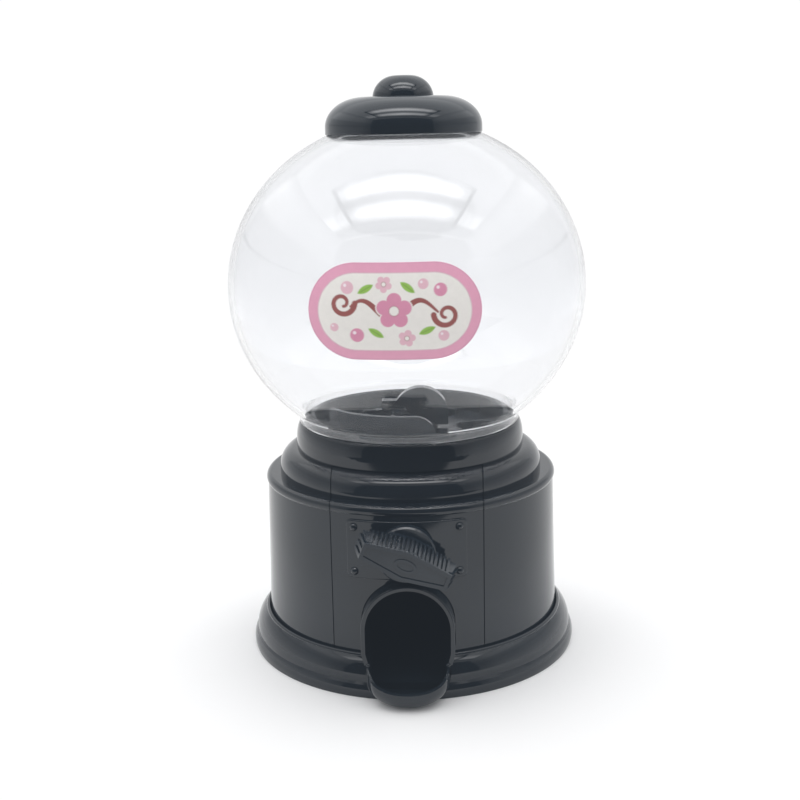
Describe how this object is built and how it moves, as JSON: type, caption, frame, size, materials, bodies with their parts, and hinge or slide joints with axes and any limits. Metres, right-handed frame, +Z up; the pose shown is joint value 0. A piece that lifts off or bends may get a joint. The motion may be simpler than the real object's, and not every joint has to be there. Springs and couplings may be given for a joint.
{
  "type": "gumball machine",
  "caption": "Table-top gumball dispenser: clear globe with a lift-off lid on a stepped round body, a front knob that turns a pocketed wheel, and an arched outlet with a scoop tray.",
  "frame": {"origin": "on the globe's axis, at the flat underside that the machine stands on", "axes": "+Z up along the globe's axis, the knob and the outlet face -Y, +X to the right seen from the front"},
  "size_m": [0.0868, 0.0911, 0.1396],
  "materials": {
    "black_plastic": "injection-moulded gloss black",
    "knob_plastic": "moulded black, ribbed",
    "gear_plastic": "natural nylon",
    "clear_plastic": "clear polystyrene, blown and polished",
    "label_paper": "printed paper label, semi-gloss",
    "screw_steel": "zinc-plated",
    "shaft_steel": "drawn steel"
  },
  "bodies": {
    "body": {"base_ring": "black_plastic", "bottom_cover": "black_plastic", "bottom_screws": "screw_steel", "rear_shell": "black_plastic", "front_panel": "black_plastic", "outlet_chute": "black_plastic", "drop_duct": "black_plastic", "hopper_cup": "black_plastic", "hopper_screws": "screw_steel", "outlet_guard": "black_plastic", "gear_bracket": "black_plastic", "bracket_screws": "screw_steel", "globe": "clear_plastic", "globe_label": "label_paper"},
    "wheel": {"dispensing_wheel": "black_plastic", "agitator": "black_plastic", "crown_gear": "gear_plastic", "wheel_washer": "screw_steel", "wheel_screw": "screw_steel"},
    "knob": {"knob": "knob_plastic", "knob_shaft": "shaft_steel", "shaft_clip": "screw_steel", "drive_pinion": "gear_plastic"},
    "lid": {"lid": "black_plastic", "lid_plug": "black_plastic"}
  },
  "joints": [
    {"name": "wheel_turn", "type": "hinge", "parent": "body", "child": "wheel", "pos_m": [0, 0, 0.05], "axis": [0, 0, 1], "continuous": true},
    {"name": "knob_turn", "type": "hinge", "parent": "body", "child": "knob", "pos_m": [0, -0.04, 0.0343], "axis": [0, -1, 0], "continuous": true},
    {"name": "lid_lift", "type": "slide", "parent": "body", "child": "lid", "axis": [0, 0, 1], "range_m": [0, 0.03]}
  ],
  "couplings": [
    {"joint": "knob_turn", "follows": "wheel_turn", "ratio": -1.5}
  ]
}
